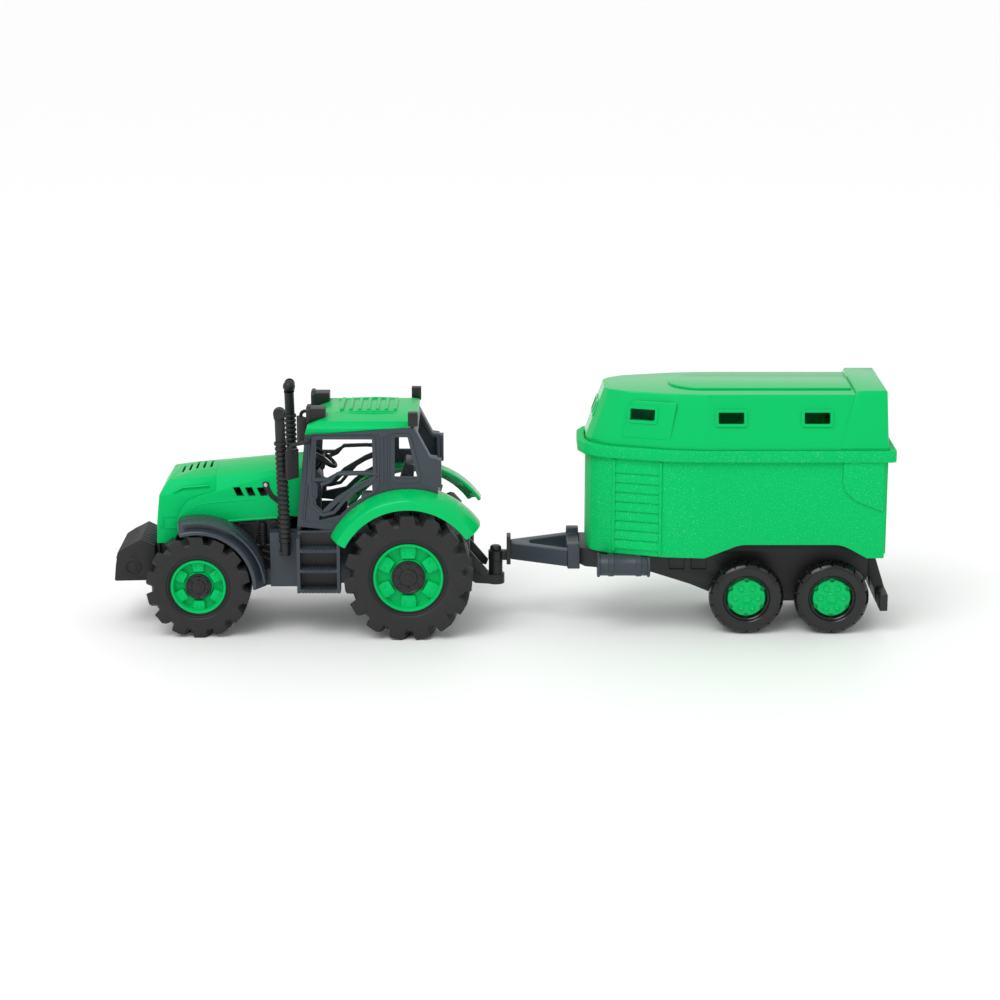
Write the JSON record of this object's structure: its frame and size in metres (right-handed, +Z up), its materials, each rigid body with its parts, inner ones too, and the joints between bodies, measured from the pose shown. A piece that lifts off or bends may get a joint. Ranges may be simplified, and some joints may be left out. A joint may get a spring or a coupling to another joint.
{
  "type": "toy tractor with trailer",
  "caption": "Moulded plastic farm tractor with rolling wheels, towing a horse trailer with a lift-off lid and a folding rear ramp.",
  "frame": {"origin": "on the floor under the centre of the whole toy's bounding box", "axes": "-X forwards along the tractor's nose, +X towards the trailer's tail, +Z up, -Y the vehicle's left side"},
  "size_m": [0.5606, 0.116, 0.1795],
  "materials": {
    "green_gloss": "glossy moulded green plastic",
    "green_matte": "finely speckled matte green plastic",
    "slate_plastic": "satin dark slate plastic",
    "black_plastic": "satin black plastic",
    "tyre": "matte black moulded tyre",
    "steel": "bright drawn steel"
  },
  "bodies": {
    "tractor": {"bonnet_nose": "green_gloss", "bonnet_shell": "green_gloss", "cab_floor": "slate_plastic", "cab_front_frame": "slate_plastic", "cab_rear_frame": "slate_plastic", "cab_side_left": "slate_plastic", "cab_side_right": "slate_plastic", "chassis": "slate_plastic", "chassis_screws": "steel", "engine_block": "black_plastic", "exhaust_left": "black_plastic", "exhaust_right": "black_plastic", "front_fender_left": "slate_plastic", "front_fender_right": "slate_plastic", "front_weight": "black_plastic", "hitch_drawbar": "black_plastic", "hitch_pin": "black_plastic", "lift_arms": "black_plastic", "mirror_left": "slate_plastic", "mirror_right": "slate_plastic", "rear_fender_left": "green_gloss", "rear_fender_right": "green_gloss", "roof": "green_gloss", "roof_lamps_front": "black_plastic", "roof_lamps_rear": "black_plastic", "seat": "slate_plastic", "steering_console": "slate_plastic", "steering_wheel": "slate_plastic", "step_left": "slate_plastic", "step_right": "slate_plastic", "tail_lamps": "slate_plastic", "weight_bracket": "slate_plastic"},
    "front_wheels": {"front_axle": "steel", "front_tyre_left": "tyre", "front_tyre_right": "tyre", "front_rim_left": "green_gloss", "front_rim_right": "green_gloss", "front_hub_caps": "black_plastic"},
    "rear_wheels": {"rear_axle": "steel", "rear_tyre_left": "tyre", "rear_tyre_right": "tyre", "rear_rim_left": "green_gloss", "rear_rim_right": "green_gloss", "rear_hub_caps": "black_plastic"},
    "trailer": {"coupling_head": "black_plastic", "drawbar_frame": "slate_plastic", "trailer_chassis": "black_plastic", "rear_bumper": "black_plastic", "side_tank_left": "slate_plastic", "side_tank_right": "slate_plastic", "trailer_box": "green_matte"},
    "trailer_front_wheels": {"trailer_front_axle": "steel", "trailer_front_tyres": "tyre", "trailer_front_hubs": "green_gloss"},
    "trailer_rear_wheels": {"trailer_rear_axle": "steel", "trailer_rear_tyres": "tyre", "trailer_rear_hubs": "green_gloss"},
    "lid": {"lid": "green_gloss"},
    "rear_ramp": {"rear_ramp": "green_matte"}
  },
  "joints": [
    {"name": "front_axle_spin", "type": "hinge", "parent": "tractor", "child": "front_wheels", "pos_m": [-0.21726, 0, 0.0375], "axis": [0, 1, 0], "continuous": true},
    {"name": "rear_axle_spin", "type": "hinge", "parent": "tractor", "child": "rear_wheels", "pos_m": [-0.06636, 0, 0.046], "axis": [0, 1, 0], "continuous": true},
    {"name": "hitch_yaw", "type": "hinge", "parent": "tractor", "child": "trailer", "pos_m": [-0.00406, 0, 0.048], "axis": [0, 0, 1], "range_deg": [-55, 55]},
    {"name": "trailer_front_spin", "type": "hinge", "parent": "trailer", "child": "trailer_front_wheels", "pos_m": [0.17684, 0, 0.027], "axis": [0, 1, 0], "continuous": true},
    {"name": "trailer_rear_spin", "type": "hinge", "parent": "trailer", "child": "trailer_rear_wheels", "pos_m": [0.23834, 0, 0.027], "axis": [0, 1, 0], "continuous": true},
    {"name": "lid_lift", "type": "slide", "parent": "trailer", "child": "lid", "axis": [0, 0, 1], "range_m": [0, 0.06]},
    {"name": "ramp_hinge", "type": "hinge", "parent": "trailer", "child": "rear_ramp", "pos_m": [0.27244, 0, 0.0635], "axis": [0, 1, 0], "range_deg": [0, 90]}
  ]
}
